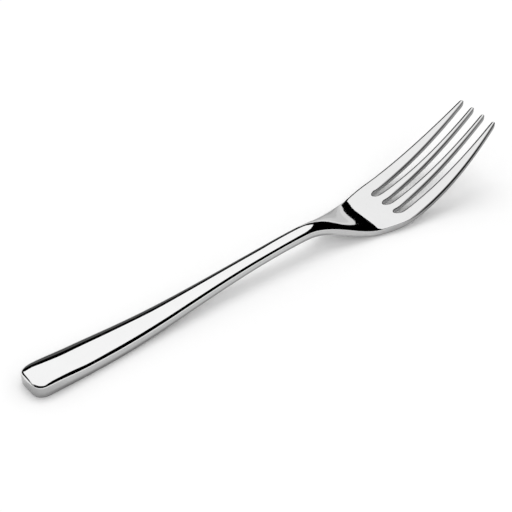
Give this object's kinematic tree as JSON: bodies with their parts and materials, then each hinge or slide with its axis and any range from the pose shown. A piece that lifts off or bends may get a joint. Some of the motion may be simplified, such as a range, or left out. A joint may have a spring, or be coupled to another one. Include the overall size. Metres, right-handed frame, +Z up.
{
  "type": "serving fork",
  "caption": "Mirror-polished steel serving fork: crowned tapering handle, narrow raised neck, flat palm and upswept tines with round slots between them.",
  "frame": {"origin": "on the table plane, midway between the end of the handle and the tips of the tines, on the plane of symmetry", "axes": "+X along the fork towards the tips, +Y across it, +Z up from the table"},
  "size_m": [0.231, 0.0302, 0.0297],
  "materials": {
    "polished_steel": "mirror-polished stainless steel"
  },
  "bodies": {
    "root": {"handle": "polished_steel", "neck": "polished_steel", "palm": "polished_steel", "tine_1": "polished_steel", "tine_2": "polished_steel", "tine_3": "polished_steel", "tine_4": "polished_steel"}
  },
  "joints": []
}
